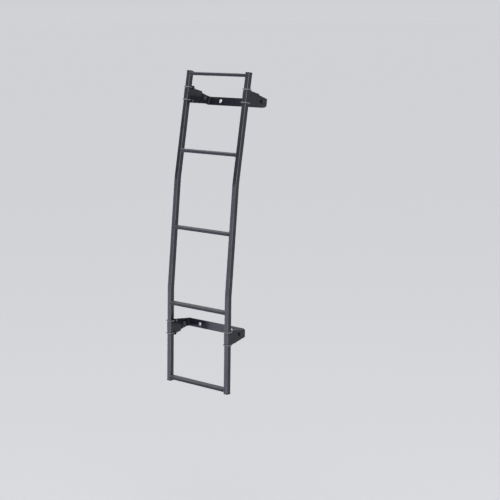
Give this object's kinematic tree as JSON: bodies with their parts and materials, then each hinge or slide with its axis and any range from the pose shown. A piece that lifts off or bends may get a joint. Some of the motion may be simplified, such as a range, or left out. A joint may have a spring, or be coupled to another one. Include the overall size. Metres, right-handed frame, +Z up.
{
  "type": "van rear door ladder",
  "caption": "Bent square-tube ladder with flat rungs, clamped by hook-ended U-bolts to web brackets that bolt to two folded straps on a vehicle's rear door.",
  "frame": {"origin": "centre of the lower strap's back face, on the door's surface", "axes": "+X to the right of a person facing the ladder, +Y into the door, +Z up"},
  "size_m": [0.3546, 0.2955, 1.2954],
  "materials": {
    "coated_tube": "satin",
    "coated_plate": "satin",
    "ubolt_steel": "satin",
    "zinc_fasteners": "satin",
    "bright_bolts": "polished",
    "cap_plastic": "matte"
  },
  "bodies": {
    "root": {"rung_1": "coated_tube", "rung_2": "coated_tube", "rung_3": "coated_tube", "rung_4": "coated_tube", "rung_5": "coated_tube", "left_rail": "coated_tube", "left_rail_head_cap": "cap_plastic", "left_rail_foot_cap": "cap_plastic", "right_rail": "coated_tube", "right_rail_head_cap": "cap_plastic", "right_rail_foot_cap": "cap_plastic", "lower_strap": "coated_plate", "lower_left_bracket": "coated_plate", "lower_left_bottom_ubolt": "ubolt_steel", "lower_left_top_ubolt": "ubolt_steel", "lower_left_ubolt_nuts": "zinc_fasteners", "lower_left_pivot_bolt": "ubolt_steel", "lower_left_pivot_nut": "zinc_fasteners", "lower_left_pivot_washers": "zinc_fasteners", "lower_left_door_bolt": "bright_bolts", "lower_right_bracket": "coated_plate", "lower_right_bottom_ubolt": "ubolt_steel", "lower_right_top_ubolt": "ubolt_steel", "lower_right_ubolt_nuts": "zinc_fasteners", "lower_right_pivot_bolt": "ubolt_steel", "lower_right_pivot_nut": "zinc_fasteners", "lower_right_pivot_washers": "zinc_fasteners", "lower_right_door_bolt": "bright_bolts", "upper_strap": "coated_plate", "upper_left_bracket": "coated_plate", "upper_left_bottom_ubolt": "ubolt_steel", "upper_left_top_ubolt": "ubolt_steel", "upper_left_ubolt_nuts": "zinc_fasteners", "upper_left_pivot_bolt": "ubolt_steel", "upper_left_pivot_nut": "zinc_fasteners", "upper_left_pivot_washers": "zinc_fasteners", "upper_left_door_bolt": "bright_bolts", "upper_right_bracket": "coated_plate", "upper_right_bottom_ubolt": "ubolt_steel", "upper_right_top_ubolt": "ubolt_steel", "upper_right_ubolt_nuts": "zinc_fasteners", "upper_right_pivot_bolt": "ubolt_steel", "upper_right_pivot_nut": "zinc_fasteners", "upper_right_pivot_washers": "zinc_fasteners", "upper_right_door_bolt": "bright_bolts"}
  },
  "joints": []
}
